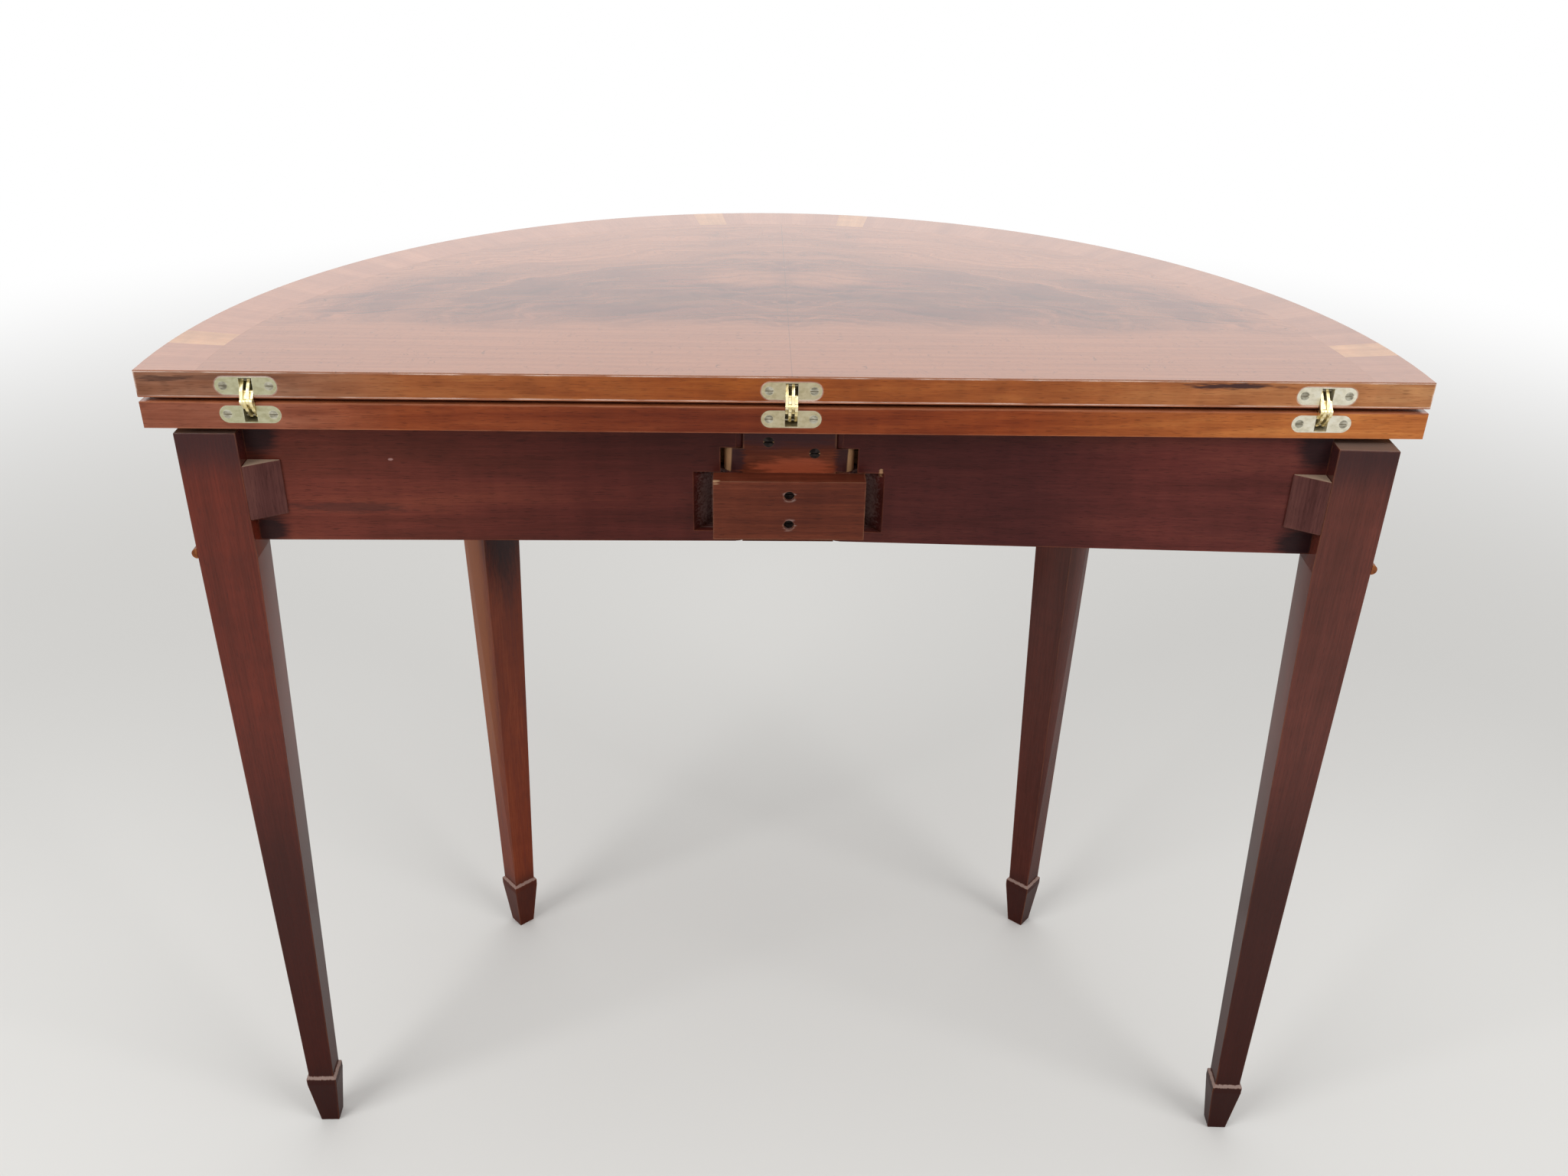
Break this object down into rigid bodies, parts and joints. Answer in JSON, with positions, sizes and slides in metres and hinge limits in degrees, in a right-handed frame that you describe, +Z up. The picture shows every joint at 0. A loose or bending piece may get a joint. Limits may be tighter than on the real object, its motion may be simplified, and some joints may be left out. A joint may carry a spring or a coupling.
{
  "type": "half-round folding games table",
  "caption": "Half-round mahogany games table whose upper leaf folds over onto two rear legs that swing out on wooden knuckle joints.",
  "frame": {"origin": "on the floor, under the middle of the closed table's bounding box", "axes": "+X along the hinged straight edge, to the right as seen from the hinged side; +Y from the hinged edge towards the curved side; +Z up"},
  "size_m": [0.9144, 0.4678, 0.762],
  "materials": {
    "mahogany": "polished dark red mahogany",
    "leaf_edge_wood": "polished orange-brown mahogany edge",
    "flame_veneer": "high gloss book-matched flame veneer",
    "crossband_wood": "high gloss crossbanding",
    "light_wood": "high gloss light inlay",
    "bead_wood": "polished moulding",
    "secondary_wood": "thinly stained secondary wood",
    "baize": "green wool baize",
    "hinge_brass": "dull aged brass",
    "link_brass": "rubbed bright brass",
    "steel": "aged steel"
  },
  "bodies": {
    "frame": {"lower_leaf": "leaf_edge_wood", "lower_crossband": "crossband_wood", "lower_baize": "baize", "apron": "mahogany", "apron_bead": "bead_wood", "inner_rail": "secondary_wood", "knuckle_block": "mahogany", "knuckle_block_screws": "steel", "stop_block": "mahogany", "stop_block_screws": "steel", "knuckle_pin_left": "steel", "knuckle_pin_right": "steel", "front_leg_left": "mahogany", "front_leg_right": "mahogany", "front_leg_beads": "bead_wood", "glue_blocks": "secondary_wood", "hinge_body_lower_left": "hinge_brass", "hinge_body_lower_middle": "hinge_brass", "hinge_body_lower_right": "hinge_brass", "hinge_screws_lower": "steel", "hinge_pins_lower": "steel"},
    "top_leaf": {"upper_leaf": "leaf_edge_wood", "flame_veneer_left": "flame_veneer", "flame_veneer_right": "flame_veneer", "top_crossband": "crossband_wood", "light_blocks": "light_wood", "upper_crossband": "crossband_wood", "upper_baize": "baize", "hinge_body_upper_left": "hinge_brass", "hinge_body_upper_middle": "hinge_brass", "hinge_body_upper_right": "hinge_brass", "hinge_screws_upper": "steel", "hinge_pins_upper": "steel"},
    "lower_links": {"links_lower_left": "link_brass", "links_lower_middle": "link_brass", "links_lower_right": "link_brass", "centre_pins": "steel", "slide_pins_lower": "steel"},
    "upper_links": {"links_upper_left": "link_brass", "links_upper_middle": "link_brass", "links_upper_right": "link_brass", "slide_pins_upper": "steel"},
    "left_gate": {"swing_rail_left": "mahogany", "rear_leg_left": "mahogany", "corner_block_left": "secondary_wood", "leg_bead_left": "bead_wood"},
    "right_gate": {"swing_rail_right": "mahogany", "rear_leg_right": "mahogany", "corner_block_right": "secondary_wood", "leg_bead_right": "bead_wood"}
  },
  "joints": [
    {"name": "leaf_fold", "type": "hinge", "parent": "frame", "child": "top_leaf", "pos_m": [0, -0.22329, 0.7404], "axis": [1, 0, 0], "range_deg": [0, 180]},
    {"name": "lower_link_turn", "type": "hinge", "parent": "frame", "child": "lower_links", "pos_m": [0, -0.22149, 0.7348], "axis": [1, 0, 0], "range_deg": [0, 125.4]},
    {"name": "upper_link_turn", "type": "hinge", "parent": "top_leaf", "child": "upper_links", "pos_m": [0, -0.22149, 0.746], "axis": [1, 0, 0], "range_deg": [-125.4, 0]},
    {"name": "left_gate_swing", "type": "hinge", "parent": "frame", "child": "left_gate", "pos_m": [-0.0395, -0.19329, 0.6698], "axis": [0, 0, 1], "range_deg": [-0.5, 41.5]},
    {"name": "right_gate_swing", "type": "hinge", "parent": "frame", "child": "right_gate", "pos_m": [0.0395, -0.19329, 0.6698], "axis": [0, 0, -1], "range_deg": [-2.5, 39.5]}
  ],
  "couplings": [
    {"joint": "lower_link_turn", "follows": "leaf_fold", "ratio": 0.69596},
    {"joint": "upper_link_turn", "follows": "leaf_fold", "ratio": -0.69596}
  ]
}
